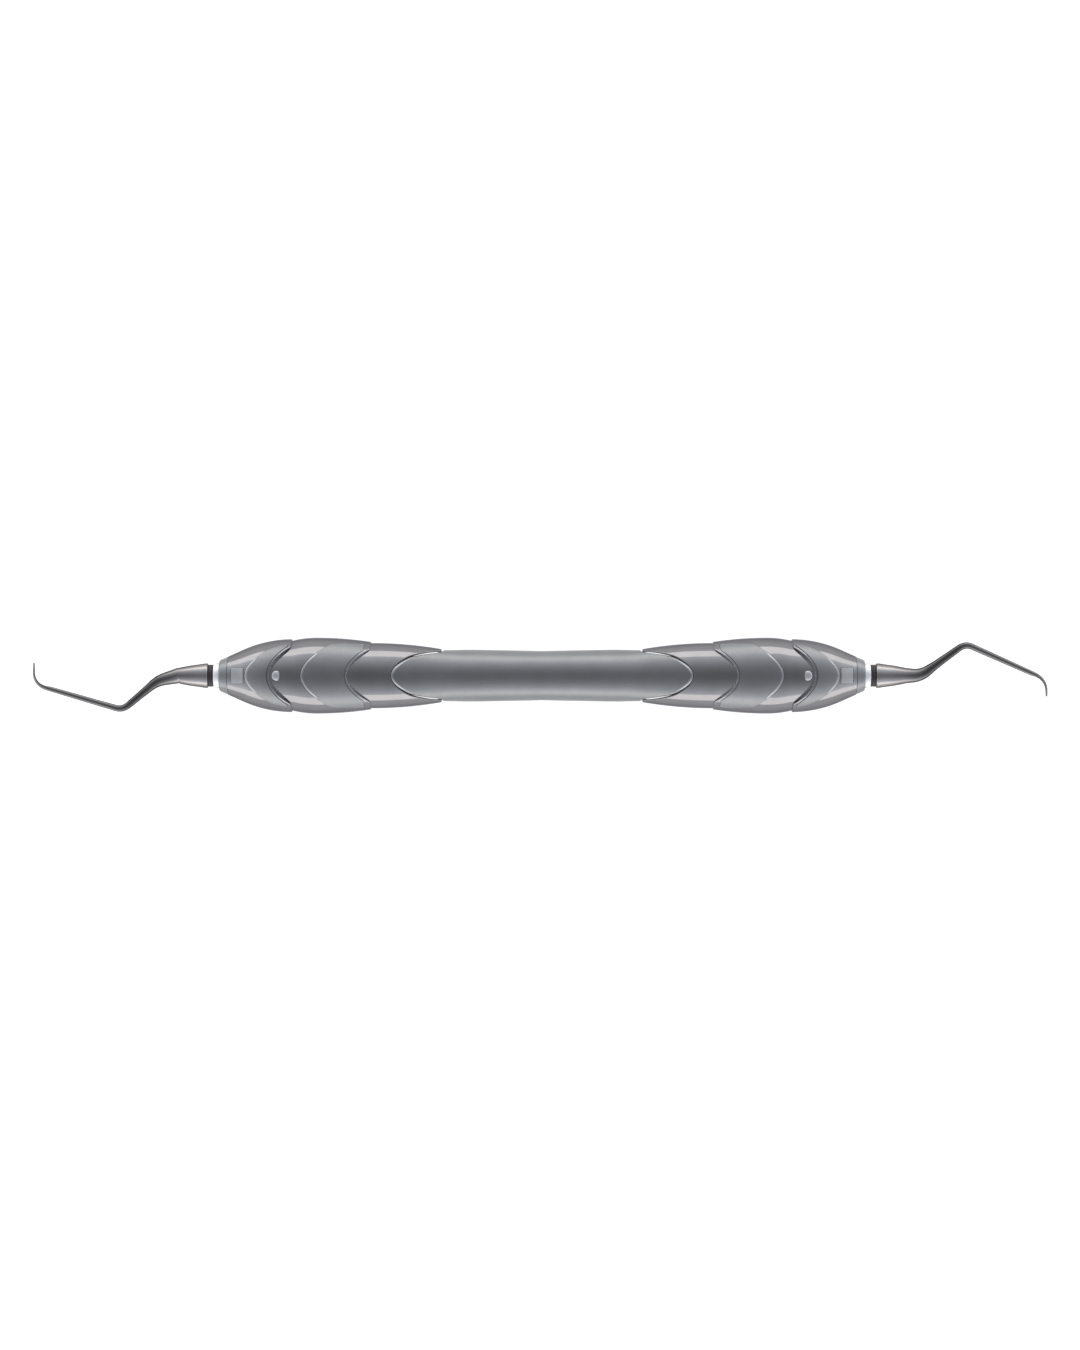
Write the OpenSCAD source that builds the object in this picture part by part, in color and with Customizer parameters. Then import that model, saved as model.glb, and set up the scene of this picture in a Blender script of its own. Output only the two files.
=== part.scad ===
// Double-ended dental hand scaler: a hollow metal handle of nested, scalloped rings
// with a screw-in working tip at each end. Millimetres.
// X runs along the instrument, +Z is its front and the origin is its middle.
// Every x station is a distance from the middle, and both ends use the same stations.

/* [Waist] */
// Radius of the grip sleeve at the middle of the handle
waist_r = 4.13; // [4.05:0.01:4.2]
// Largest radius of the grip sleeve, just inside the rings
waist_swell_r = 4.35; // [4.3:0.01:4.4]
// Station of that swelling
waist_swell_x = 12.6; // [11.5:0.1:13.5]
// Radius of the sleeve where it meets the inner ring
waist_neck_r = 4.28; // [4.22:0.01:4.32]
// Radius at the point of the satin tongue that runs into the inner ring
tongue_tip_r = 5.58; // [5.5:0.01:5.65]

/* [Inner ring] */
// Station of the free end, at the sides
inner_end_x = 16.8; // [16.4:0.1:17.4]
// Station where the ring is widest
inner_peak_x = 28.5; // [28:0.1:29]
// Radius there
inner_peak_r = 5.48; // [5.4:0.01:5.5]
// Radius of the curve that runs down to the free end
inner_arc_r = 68; // [60:1:80]
// Station of the deepest point of the scallop in the free end
inner_scallop_x = 25.2; // [25:0.05:25.5]
// Spread of that scallop: its half width squared, over the distance from its deepest point
inner_spread = 3.4; // [3:0.1:3.6]

/* [Outer ring] */
// Station of the free end, at the sides
outer_end_x = 28.6; // [28.5:0.1:29.2]
// Station where the handle is widest
outer_peak_x = 37.7; // [37.2:0.1:38.2]
// Radius there
outer_peak_r = 6.37; // [6.32:0.01:6.4]
// Radius of the long curve towards the middle of the handle
outer_arc_r = 60; // [58:1:66]
// Radius of the short curve towards the nose
outer_nose_arc_r = 17; // [16:0.5:17.5]
// Station of the deepest point of the scallop in the free end
outer_scallop_x = 32.55; // [32.3:0.05:33]
// Spread of that scallop
outer_spread = 5; // [4.6:0.1:5.2]

/* [Nose ring] */
// Station of the free end, at the sides
nose_end_x = 41.8; // [41.6:0.1:42]
// Station of the cone's large end
nose_cone_x = 50; // [49.5:0.1:50.3]
// Radius at the free end
nose_peak_r = 6.13; // [6.1:0.01:6.18]
// Radius of the curve between the free end and the cone
nose_arc_r = 20; // [19.5:0.5:22]
// Station of the deepest point of the scallop in the free end
nose_scallop_x = 45.45; // [45.25:0.05:45.7]
// Spread of that scallop
nose_spread = 6.4; // [6.2:0.1:7]

/* [Leaves] */
// Height of a leaf over the ring that holds it
leaf_proud = 0.12; // [0.06:0.02:0.16]
// Depth of a leaf's pocket
leaf_depth = 0.2; // [0.14:0.02:0.22]
// Half width of the leaf on the outer ring
outer_leaf_w = 5.2; // [5:0.05:5.3]
// Station of the point of that leaf's tongue
outer_leaf_x = 40.1; // [39.9:0.05:40.4]
// Spread of that tongue
outer_leaf_spread = 5.5; // [5.2:0.1:5.8]
// Station of the point of the nose leaf's tongue
nose_leaf_x = 49.5; // [49.3:0.05:49.55]
// Spread of that tongue
nose_leaf_spread = 4.6; // [4.4:0.1:4.8]
// Width of the rim that a ring keeps between a leaf and its scallop
leaf_rim = 0.36; // [0.2:0.02:0.5]

/* [Tips] */
// Radius of the threaded stud
stud_r = 1.25; // [1.15:0.05:1.3]
// Radial clearance of the stud in its socket
stud_gap = 0.05; // [0.03:0.01:0.08]
// Largest radius of the tip's cone
cone_r = 2.05; // [1.95:0.05:2.15]
// Radius of the seal ring
seal_r = 1.85; // [1.75:0.05:1.95]

/* [Hidden] */
$fn = 96;
LEFT = -1;
RIGHT = 1;
FRONT = 1;
BACK = -1;

satin = "#8d9297";
polished = "#77777c";
steel = "#a9a4a4";
rubber = "#241a1c";

slip = 0.03;          // gap between pieces that slide together at assembly
skin = 0.65;          // wall of the rings and the sleeve
reach = 8;            // more than any radius of the handle
step = 1.2;           // length of one stretch of a turned outline
ARCH_STEPS = 12;      // stretches in half of a scallop or tongue

// Core tube, and the stations of the webs that rest on it
core_r = 2.5;
core_bore_r = 1.85;
core_end_x = 46.5;
spigot_r = 4;
spigot_end_x = 26;
tongue_start_x = 13;
tongue_foot_r = 3.9;
tongue_w = 3.3;
tongue_flare = [16.2, 4.2];
inner_web_x = [31.4, 33.4];
outer_web_x = 43.1;
outer_scallop_w = 4.7;
outer_cone_x = 41.5;
outer_cone_slope = 0.2;
nose_web_end_x = 48.2;
nose_lip_x = 51.6;
bezel_x = 52.5;
bezel_end_x = 54;
bezel_step = 0.1;     // step down from the nose ring to the bezel
bezel_swell = 0.06;   // how far the bezel's small end stands over the cone's line
bezel_round = 0.12;

// Leaves
outer_leaf_end_x = 29.6;
pocket_end_x = 41.7;
nose_leaf_w = 4.55;
nose_leaf_foot = [42.2, 5.25];

// Socket, seal and tip base
socket_r = 1.8;
socket_start_x = 42;
collar_r = 2.1;
collar_end_x = 54.95;
collar_chamfer = 0.15;
stud_start_x = 45.5;
stud_chamfer = 0.3;
neck_r = 1.4;
neck_gap = 0.05;
seal_x = [54.97, 55.88];
seal_round = 0.2;
cone_x = 55.9;
cone_round = 0.12;
cone_land_x = 56.4;   // where the cone starts to narrow
cone_knee = [0.27, 58.4];    // drop from its largest radius, and station, of the first slope
cone_end = [1.32, 61.3];     // radius and station where it meets the shank

// Lock pin and code plate
pin_x = 44.1;
pin_r = 0.79;
pin_hole_r = 0.8;
pin_foot_z = 2.2;
pin_dome = 0.14;
plate_x = [49.7, 51.85];
plate_w = 1.35;
plate_depth = 0.15;
plate_proud = 0.03;

// Routes of the shanks, as corners [x, y, z] that are then rounded, and the length
// that each rounding takes off its corner. The blade curves towards +Y on the left
// tip and towards -Y on the right one, which makes them a mirror-image pair.
LEFT_ROUTE = [[60.9, 0, 0], [64.4, -0.85, 0], [70.35, -5.75, -0.8], [84.95, -1.45, 0.5], [84.85, 2.1, 1.3]];
RIGHT_ROUTE = [[60.9, 0, 0], [63.4, 0, 0], [70.8, 5.35, 0.8], [84.45, -0.65, -0.5], [84.6, -3.45, -1.3]];
CORNER_CUTS = [1.4, 1.3, 2.2];
// Radius of the shank at distances from its start
SHANK_RADII = [[0, 1.3], [3, 0.98], [5.5, 0.72], [10, 0.58], [13, 0.52], [24, 0.4], [27, 0.3], [31, 0.1]];
BLADE_START = 23;     // distance at which the round shank starts to turn into the blade
BLADE_FULL = 27;      // distance at which it is a full blade
BLADE_FACE = 0.25;    // height of the blade's flat face over its axis, in shank radii
BLADE_BACK = 0.3;     // how much the blade narrows towards its back
SHANK_SIDES = 16;
BEND_STEPS = 8;

// ---- outlines: the radius of each turned piece at station x ----

function arc_drop(run, r) = r - sqrt(r * r - run * run);

function waist_radius(x) =
    x < waist_swell_x
        ? waist_r + (waist_swell_r - waist_r) * (1 - cos(180 * x / waist_swell_x)) / 2
        : waist_swell_r - (waist_swell_r - waist_neck_r)
            * (x - waist_swell_x) / (inner_end_x - waist_swell_x);

function tongue_radius(x) =
    waist_swell_r + (tongue_tip_r - waist_swell_r)
        * (x - tongue_start_x) / (inner_scallop_x - tongue_start_x);

function inner_radius(x) =
    x >= inner_peak_x ? inner_peak_r : inner_peak_r - arc_drop(inner_peak_x - x, inner_arc_r);

function outer_radius(x) =
    x < outer_peak_x ? outer_peak_r - arc_drop(outer_peak_x - x, outer_arc_r)
    : x < outer_cone_x ? outer_peak_r - arc_drop(x - outer_peak_x, outer_nose_arc_r)
    : outer_radius(outer_cone_x - 0.001) - outer_cone_slope * (x - outer_cone_x);

nose_cone_run = nose_cone_x - nose_end_x;
nose_cone_slope = nose_cone_run / sqrt(nose_arc_r ^ 2 - nose_cone_run ^ 2);

function nose_radius(x) =
    x < nose_cone_x ? nose_peak_r - arc_drop(x - nose_end_x, nose_arc_r)
    : nose_peak_r - arc_drop(nose_cone_run, nose_arc_r) - nose_cone_slope * (x - nose_cone_x);

// Points [radius, x] along an outline from station a to station b, moved out by rise
function outline(radius, a, b, rise = 0) =
    let (n = ceil(abs(b - a) / step))
    [for (i = [0:n]) let (x = a + (b - a) * i / n) [radius(abs(x)) + rise, x]];

// ---- helpers ----

// A solid turned about X from an outline of [radius, x] points
module turned(points) {
    rotate([0, 90, 0]) rotate_extrude() polygon(points);
}

// Puts what is drawn for the right end on the chosen end
module at_end(side) {
    mirror([side < 0 ? 1 : 0, 0, 0]) children();
}

// Puts what is drawn for the front on the chosen face
module on_face(face) {
    mirror([0, 0, face < 0 ? 1 : 0]) children();
}

// ---- plan shapes of the scallops and leaves ----

// Half of a pointed arch, as points [x, y] from its apex on the axis out to half width w,
// on the line y^2 = spread * (apex - x) moved outwards by out
function arch(apex, spread, w, out = 0) = [for (i = [0:ARCH_STEPS]) let (
    y = w * i / ARCH_STEPS,
    slope = 2 * y / spread,
    far = out / sqrt(1 + slope ^ 2)
) [apex - y ^ 2 / spread + far, y + far * slope]];

// A plan shape cut straight through the handle, from its half with y >= 0
module through(half) {
    other = [for (i = [len(half) - 1:-1:1]) [half[i][0], -half[i][1]]];
    linear_extrude(2 * reach, center = true) polygon(concat(half, other));
}

// The flared scallop of the inner ring, which the sleeve's tongue fills
module inner_scallop(gap) {
    half = arch(inner_scallop_x, inner_spread, tongue_w, -gap);
    corner_x = inner_scallop_x - tongue_w ^ 2 / inner_spread;
    slope = (tongue_flare[1] - tongue_w) / (corner_x - tongue_flare[0]);
    far = tongue_w - gap + slope * (corner_x - tongue_start_x);
    through(concat(half, [[tongue_start_x, far]]));
}

// The scallops of the outer ring and the nose ring, wider by rim
module outer_scallop(rim = 0) {
    through(arch(outer_scallop_x, outer_spread, outer_scallop_w, rim));
}

module nose_scallop(rim = 0) {
    through(arch(nose_scallop_x, nose_spread, nose_peak_r + 0.1, rim));
}

module outer_leaf_plan(gap) {
    half = arch(outer_leaf_x, outer_leaf_spread, outer_leaf_w, -gap);
    through(concat(half, [[outer_leaf_end_x + gap, outer_leaf_w - gap]]));
}

module nose_leaf_plan(gap) {
    half = arch(nose_leaf_x, nose_leaf_spread, nose_leaf_w, -gap);
    through(concat(half, [[nose_leaf_foot[0], nose_leaf_foot[1] - gap]]));
}

// A shell over an outline, from depth under it to proud over it
module shell(radius, a, b, depth, proud) {
    turned(concat(outline(radius, a, b, proud), outline(radius, b, a, -depth)));
}

// One half of the handle, in front of the plane through its axis
module front_half() {
    translate([0, -reach, 0]) cube([2 * core_end_x, 2 * reach, reach]);
}

// ---- sub-parts ----

module core_tube() {
    color(steel) difference() {
        rotate([0, 90, 0]) cylinder(h = 2 * core_end_x, r = core_r, center = true);
        rotate([0, 90, 0]) cylinder(h = 2 * core_end_x + 1, r = core_bore_r, center = true);
        for (side = [LEFT, RIGHT])
            translate([side * pin_x, 0, 0]) cylinder(h = reach, r = pin_hole_r);
    }
}

module waist_sleeve() {
    bore = waist_r - skin;
    web_x = spigot_end_x - 2;
    color(satin) union() {
        turned(concat(
            outline(function(x) waist_radius(x), -inner_end_x, inner_end_x),
            [[spigot_r, inner_end_x], [spigot_r, spigot_end_x]],
            [[core_r + slip, spigot_end_x], [core_r + slip, web_x], [bore, web_x]],
            [[bore, -web_x], [core_r + slip, -web_x], [core_r + slip, -spigot_end_x]],
            [[spigot_r, -spigot_end_x], [spigot_r, -inner_end_x]]
        ));
        for (side = [LEFT, RIGHT]) at_end(side) intersection() {
            turned([
                [tongue_foot_r, tongue_start_x],
                [tongue_radius(tongue_start_x), tongue_start_x],
                [tongue_radius(inner_scallop_x), inner_scallop_x],
                [tongue_foot_r, inner_scallop_x]
            ]);
            inner_scallop(slip);
        }
    }
}

module inner_ring(side) {
    color(polished) at_end(side) difference() {
        turned(concat(
            outline(function(x) inner_radius(x), inner_end_x, inner_web_x[1]),
            [[core_r + slip, inner_web_x[1]], [core_r + slip, inner_web_x[0]]],
            [[inner_peak_r - skin, inner_web_x[0]], [inner_peak_r - skin, spigot_end_x]],
            [[spigot_r + slip, spigot_end_x], [spigot_r + slip, inner_end_x]]
        ));
        inner_scallop(0);
    }
}

module outer_ring(side) {
    counterbore = inner_peak_r + slip;
    color(polished) at_end(side) difference() {
        turned(concat(
            outline(function(x) outer_radius(x), outer_end_x, core_end_x),
            [[core_r + slip, core_end_x], [core_r + slip, outer_web_x]],
            outline(function(x) outer_radius(x), outer_web_x, inner_web_x[1] + slip, -skin),
            [[counterbore, inner_web_x[1] + slip], [counterbore, outer_end_x]]
        ));
        outer_scallop();
        difference() {
            intersection() {
                shell(function(x) outer_radius(x), outer_end_x, pocket_end_x, leaf_depth, 1);
                outer_leaf_plan(0);
            }
            outer_scallop(leaf_rim - slip);
        }
        translate([pin_x, 0, 0]) cylinder(h = reach, r = pin_hole_r);
    }
}

module nose_ring(side) {
    bore = socket_r + slip;
    color(polished) at_end(side) difference() {
        turned(concat(
            outline(function(x) nose_radius(x), nose_end_x, bezel_x),
            [[bore, bezel_x], [bore, nose_lip_x]],
            outline(function(x) nose_radius(x), nose_lip_x, nose_web_end_x, -skin),
            [[bore, nose_web_end_x], [bore, core_end_x]],
            outline(function(x) outer_radius(x), core_end_x, nose_end_x, slip)
        ));
        nose_scallop();
        difference() {
            intersection() {
                shell(function(x) nose_radius(x), nose_end_x, nose_cone_x, leaf_depth, 1);
                nose_leaf_plan(0);
            }
            nose_scallop(leaf_rim - slip);
        }
        code_plate_block(plate_depth, 1, 0);
    }
}

module outer_leaf(side, face) {
    color(satin) at_end(side) on_face(face) difference() {
        intersection() {
            shell(function(x) outer_radius(x), outer_end_x, pocket_end_x,
                leaf_depth - slip / 2, leaf_proud);
            outer_leaf_plan(slip);
            front_half();
        }
        outer_scallop(leaf_rim);
    }
}

module nose_leaf(side, face) {
    color(satin) at_end(side) on_face(face) difference() {
        intersection() {
            shell(function(x) nose_radius(x), nose_end_x, nose_cone_x,
                leaf_depth - slip / 2, leaf_proud);
            nose_leaf_plan(slip);
            front_half();
        }
        nose_scallop(leaf_rim);
    }
}

module bezel(side) {
    bore = socket_r + slip;
    low = nose_radius(bezel_x) - bezel_step;
    high = nose_radius(bezel_end_x) + bezel_swell;
    color(satin) at_end(side) turned([
        [bore, bezel_x], [low - bezel_round, bezel_x], [low, bezel_x + bezel_round],
        [high, bezel_end_x - bezel_round], [high - bezel_round, bezel_end_x],
        [bore, bezel_end_x]
    ]);
}

module socket(side) {
    bore = stud_r + stud_gap;
    color(steel) at_end(side) turned([
        [bore, socket_start_x], [socket_r, socket_start_x],
        [socket_r, bezel_end_x], [collar_r, bezel_end_x],
        [collar_r, collar_end_x - collar_chamfer],
        [collar_r - collar_chamfer, collar_end_x],
        [bore, collar_end_x]
    ]);
}

module lock_pin(side) {
    top = outer_radius(pin_x);
    ball = (pin_r ^ 2 + pin_dome ^ 2) / (2 * pin_dome);
    color(steel) translate([side * pin_x, 0, 0]) union() {
        translate([0, 0, pin_foot_z]) cylinder(h = top - pin_foot_z, r = pin_r);
        intersection() {
            translate([0, 0, top + pin_dome - ball]) sphere(r = ball);
            translate([0, 0, top]) cylinder(h = 1, r = pin_r);
        }
    }
}

module code_plate_block(depth, proud, gap) {
    intersection() {
        shell(function(x) nose_radius(x), plate_x[0] + gap, plate_x[1] - gap, depth, proud);
        translate([0, -plate_w + gap, 0]) cube([bezel_x, 2 * (plate_w - gap), reach]);
    }
}

module code_plate(side) {
    color(satin) at_end(side) code_plate_block(plate_depth - slip / 2, plate_proud, slip);
}

module seal_ring(side) {
    bore = neck_r + neck_gap;
    color(rubber) at_end(side) turned([
        [bore, seal_x[0]], [seal_r - seal_round, seal_x[0]],
        [seal_r, seal_x[0] + seal_round], [seal_r, seal_x[1] - seal_round],
        [seal_r - seal_round, seal_x[1]], [bore, seal_x[1]]
    ]);
}

// The tip's stud, neck and cone, on the axis of its socket
module tip_base() {
    turned([
        [0, stud_start_x], [stud_r - stud_chamfer, stud_start_x],
        [stud_r, stud_start_x + stud_chamfer],
        [stud_r, collar_end_x + neck_gap], [neck_r, collar_end_x + neck_gap],
        [neck_r, cone_x], [cone_r - cone_round, cone_x], [cone_r, cone_x + cone_round],
        [cone_r, cone_land_x], [cone_r - cone_knee[0], cone_knee[1]],
        cone_end, [0, cone_end[1]]
    ]);
}

function unit(v) = v / norm(v);

// The corner of a route, rounded by a curve that leaves it cut short by cut
function rounded(a, corner, b, cut) =
    let (from = corner + cut * unit(a - corner), to = corner + cut * unit(b - corner))
    [for (i = [0:BEND_STEPS]) let (t = i / BEND_STEPS)
        (1 - t) ^ 2 * from + 2 * t * (1 - t) * corner + t ^ 2 * to];

function path(route) = [
    route[0],
    for (k = [1:3]) each rounded(route[k - 1], route[k], route[k + 1], CORNER_CUTS[k - 1]),
    for (t = [0.3, 0.6, 0.85, 1]) blade_point(route, t)
];

// A point on the straight end of the blade, from its last curve to its toe
function blade_point(route, t) =
    let (from = route[3] + CORNER_CUTS[2] * unit(route[4] - route[3]))
    from + t * (route[4] - from);

function distance_to(points, i) =
    i == 0 ? 0 : distance_to(points, i - 1) + norm(points[i] - points[i - 1]);

// One cross-section at distance s: round on the shank; on the blade it has a flat
// face on the inner side of its curve and narrows towards its back
function section(point, heading, s, inner) =
    let (
        side = inner * unit(cross(heading, [0, 0, 1])),
        up = cross(side, heading),
        r = lookup(s, SHANK_RADII),
        blade = max(0, min(1, (s - BLADE_START) / (BLADE_FULL - BLADE_START))),
        face = 1 - blade * (1 - BLADE_FACE)
    )
    [for (k = [0:SHANK_SIDES - 1]) let (
        a = 360 * k / SHANK_SIDES,
        across = min(cos(a), face),
        narrow = 1 - blade * BLADE_BACK * max(0, -across)
    ) point + r * across * side + r * sin(a) * narrow * up];

module shank(route, inner) {
    points = path(route);
    last = len(points) - 1;
    n = SHANK_SIDES;
    rings = [for (i = [0:last])
        section(
            points[i],
            unit(points[min(i + 1, last)] - points[max(i - 1, 0)]),
            distance_to(points, i),
            inner
        )];
    sides = [for (i = [0:last - 1], k = [0:n - 1]) let (
        a = i * n + k,
        b = i * n + (k + 1) % n
    ) each [[a, b, b + n], [a, b + n, a + n]]];
    start_cap = [for (k = [n - 1:-1:0]) k];
    toe_cap = [for (k = [0:n - 1]) last * n + k];
    faces = concat([start_cap], sides, [toe_cap]);
    polyhedron([for (ring = rings) each ring], faces);
}

module tip(side, route, inner) {
    color(steel) at_end(side) union() {
        tip_base();
        shank(route, inner);
    }
}

core_tube();
waist_sleeve();
inner_ring(LEFT);  // left_inner_ring
inner_ring(RIGHT);  // right_inner_ring
outer_ring(LEFT);  // left_outer_ring
outer_ring(RIGHT);  // right_outer_ring
nose_ring(LEFT);  // left_nose_ring
nose_ring(RIGHT);  // right_nose_ring
outer_leaf(LEFT, FRONT);  // left_outer_leaf_front
outer_leaf(LEFT, BACK);  // left_outer_leaf_back
outer_leaf(RIGHT, FRONT);  // right_outer_leaf_front
outer_leaf(RIGHT, BACK);  // right_outer_leaf_back
nose_leaf(LEFT, FRONT);  // left_nose_leaf_front
nose_leaf(LEFT, BACK);  // left_nose_leaf_back
nose_leaf(RIGHT, FRONT);  // right_nose_leaf_front
nose_leaf(RIGHT, BACK);  // right_nose_leaf_back
bezel(LEFT);  // left_bezel
bezel(RIGHT);  // right_bezel
socket(LEFT);  // left_socket
socket(RIGHT);  // right_socket
lock_pin(LEFT);  // left_lock_pin
lock_pin(RIGHT);  // right_lock_pin
code_plate(LEFT);  // left_code_plate
code_plate(RIGHT);  // right_code_plate
seal_ring(LEFT);  // left_seal_ring
seal_ring(RIGHT);  // right_seal_ring
tip(LEFT, LEFT_ROUTE, -1);  // left_tip
tip(RIGHT, RIGHT_ROUTE, 1);  // right_tip
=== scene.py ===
"""Looks of a double-ended dental hand scaler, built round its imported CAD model.

Shapes are worked out in millimetres for the right-hand end and its front, then mirrored.
A skin is drawn flat, as points (x, s, h): x along the handle, s the distance round it at
the radius REF, and h the height over the piece's turned surface.
"""

import math

import bmesh
import bpy
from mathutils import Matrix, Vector
from mathutils.geometry import delaunay_2d_cdt
from mathutils.kdtree import KDTree


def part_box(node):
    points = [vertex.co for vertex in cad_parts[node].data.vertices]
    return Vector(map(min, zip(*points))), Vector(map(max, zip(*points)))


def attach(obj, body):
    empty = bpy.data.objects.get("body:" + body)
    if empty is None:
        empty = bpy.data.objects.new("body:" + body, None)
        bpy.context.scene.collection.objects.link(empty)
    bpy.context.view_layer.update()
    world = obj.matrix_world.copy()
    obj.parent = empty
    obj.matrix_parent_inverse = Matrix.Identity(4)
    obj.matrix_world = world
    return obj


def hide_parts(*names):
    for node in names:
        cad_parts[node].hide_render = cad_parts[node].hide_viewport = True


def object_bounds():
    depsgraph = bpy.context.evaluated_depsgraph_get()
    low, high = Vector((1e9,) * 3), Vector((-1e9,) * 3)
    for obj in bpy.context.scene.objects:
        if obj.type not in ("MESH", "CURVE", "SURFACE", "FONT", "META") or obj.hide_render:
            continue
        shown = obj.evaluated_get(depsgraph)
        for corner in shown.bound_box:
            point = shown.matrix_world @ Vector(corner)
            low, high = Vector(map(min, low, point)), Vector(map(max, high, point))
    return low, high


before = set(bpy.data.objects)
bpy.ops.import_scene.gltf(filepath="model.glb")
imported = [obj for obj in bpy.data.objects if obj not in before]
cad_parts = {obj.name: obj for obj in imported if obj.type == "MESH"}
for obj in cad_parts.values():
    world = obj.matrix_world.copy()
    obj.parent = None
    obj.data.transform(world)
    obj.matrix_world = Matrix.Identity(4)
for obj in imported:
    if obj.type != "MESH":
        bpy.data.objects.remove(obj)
cad_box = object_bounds()

MM = 0.001
REF = 6.0                      # radius at which distances round the handle are measured
QUARTER = REF * math.pi / 2    # that distance from the front's middle to the side
SIDES = {"left": -1, "right": 1}
FACES = {"front": 1, "back": -1}


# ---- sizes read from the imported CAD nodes, in millimetres ----


def extent(node):
    low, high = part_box(node)
    return low / MM, high / MM


INNER_LOW, INNER_HIGH = extent("right_inner_ring")
OUTER_LOW, OUTER_HIGH = extent("right_outer_ring")
NOSE_LOW, NOSE_HIGH = extent("right_nose_ring")
BEZEL_LOW, BEZEL_HIGH = extent("right_bezel")
SOCKET_LOW, SOCKET_HIGH = extent("right_socket")
SEAL_LOW, SEAL_HIGH = extent("right_seal_ring")
PIN_LOW, PIN_HIGH = extent("right_lock_pin")
PLATE_LOW, PLATE_HIGH = extent("right_code_plate")

# ---- outlines of the turned pieces ----

WAIST_R = 4.13
WAIST_SWELL = (12.6, 4.35)
WAIST_NECK_R = 4.28
TONGUE = (13.0, 25.2, 5.58)    # start and point of the sleeve's tongue, and its radius there
TONGUE_EASE = (1.2, 0.8)       # run over which the tongue's slope starts, and the run it costs
TONGUE_TURNS = (86, 56)        # degrees at which the tongue has died away, and is full
INNER_PEAK_X = 28.5
INNER_ARC = 68.0
OUTER_PEAK_X = 37.7
OUTER_ARCS = (60.0, 17.0)      # towards the middle, towards the nose
OUTER_CONE = (41.5, 0.2)
NOSE_ARC = 20.0
NOSE_CONE_X = 50.0
WALL = 0.65
PROUD = 0.12                   # height of a leaf over its ring
SLIP = 0.03                    # gap between pieces that slide together
LEAF_DEPTH = 0.14              # how far a leaf goes under its ring's surface
LEAF_POCKET = 0.15
PLATE_DEPTH = 0.1
PLATE_POCKET = 0.12


def arc_drop(run, r):
    return r - math.sqrt(r * r - run * run)


def smooth(low, high, value):
    t = min(1.0, max(0.0, (value - low) / (high - low)))
    return t * t * (3 - 2 * t)


# Each radius function takes (x, turn), because the sleeve's radius also depends on the turn.


def inner_radius(x, turn=0.0):
    return INNER_HIGH.y - arc_drop(max(0.0, INNER_PEAK_X - x), INNER_ARC)


def outer_radius(x, turn=0.0):
    if x < OUTER_PEAK_X:
        return OUTER_HIGH.y - arc_drop(OUTER_PEAK_X - x, OUTER_ARCS[0])
    cone_x, slope = OUTER_CONE
    drop = arc_drop(min(x, cone_x) - OUTER_PEAK_X, OUTER_ARCS[1])
    return OUTER_HIGH.y - drop - slope * max(0.0, x - cone_x)


def nose_radius(x, turn=0.0):
    run = NOSE_CONE_X - NOSE_LOW.x
    slope = run / math.sqrt(NOSE_ARC**2 - run**2)
    drop = arc_drop(min(x, NOSE_CONE_X) - NOSE_LOW.x, NOSE_ARC)
    return NOSE_HIGH.y - drop - slope * max(0.0, x - NOSE_CONE_X)


def sleeve_radius(x, turn=0.0):
    """The waist, and the tongue that rises out of it and dies away at the sides."""
    swell_x, swell_r = WAIST_SWELL
    if x < swell_x:
        return WAIST_R + (swell_r - WAIST_R) * (1 - math.cos(math.pi * x / swell_x)) / 2
    neck = (swell_r - WAIST_NECK_R) * min(1.0, (x - swell_x) / (INNER_LOW.x - swell_x))
    start, point, point_r = TONGUE
    slope = (point_r - swell_r) / (point - start)
    run = x - swell_x
    ease_run, ease_cost = TONGUE_EASE
    if x < start + ease_run:
        ease = run * run / (2 * (start + ease_run - swell_x))
    else:
        ease = run - ease_cost
    gone, full = (math.radians(a) for a in TONGUE_TURNS)
    front = smooth(gone, full, abs(turn))
    return swell_r - neck * (1 - front) + slope * max(0.0, ease) * front


# ---- lines in the flat ----


def to_flat(points, radius):
    """Plan points (x, y) as flat points (x, s) on a turned surface."""
    return [(x, REF * math.asin(max(-1.0, min(1.0, y / radius(x))))) for x, y in points]


def spaced(points, spacing, closed=False):
    """The same line with points an even distance apart."""
    line = points + points[:1] if closed else points
    lengths = [math.dist(a, b) for a, b in zip(line, line[1:])]
    count = max(2, round(sum(lengths) / spacing))
    step = sum(lengths) / count
    out, walked, k = [], 0.0, 0
    for i in range(count if closed else count + 1):
        while k < len(lengths) - 1 and walked + lengths[k] < i * step:
            walked += lengths[k]
            k += 1
        t = min(1.0, (i * step - walked) / max(lengths[k], 1e-9))
        a, b = line[k], line[k + 1]
        out.append((a[0] + t * (b[0] - a[0]), a[1] + t * (b[1] - a[1])))
    return out


def softened(points, rounds, closed=False):
    """Rounds the corners of an evenly spaced line. An open line keeps its ends."""
    for _ in range(rounds):
        n = len(points)
        inner = range(n) if closed else range(1, n - 1)
        moved = list(points)
        for i in inner:
            a, b, c = points[i - 1], points[i], points[(i + 1) % n]
            moved[i] = ((a[0] + 2 * b[0] + c[0]) / 4, (a[1] + 2 * b[1] + c[1]) / 4)
        points = moved
    return points


def shifted(points, distance, closed=False):
    """The line moved to its left by a distance, or by one distance for each point.

    The ends of an open line stay on their s.
    """
    n, out = len(points), []
    each = distance if isinstance(distance, list) else [distance] * n
    for i, (x, s) in enumerate(points):
        a = points[i - 1] if closed or i > 0 else points[0]
        b = points[(i + 1) % n] if closed or i < n - 1 else points[-1]
        dx, ds = b[0] - a[0], b[1] - a[1]
        length = math.hypot(dx, ds)
        out.append((x - each[i] * ds / length, s + each[i] * dx / length))
    if not closed:
        out[0] = (out[0][0], points[0][1])
        out[-1] = (out[-1][0], points[-1][1])
    return out


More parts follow.
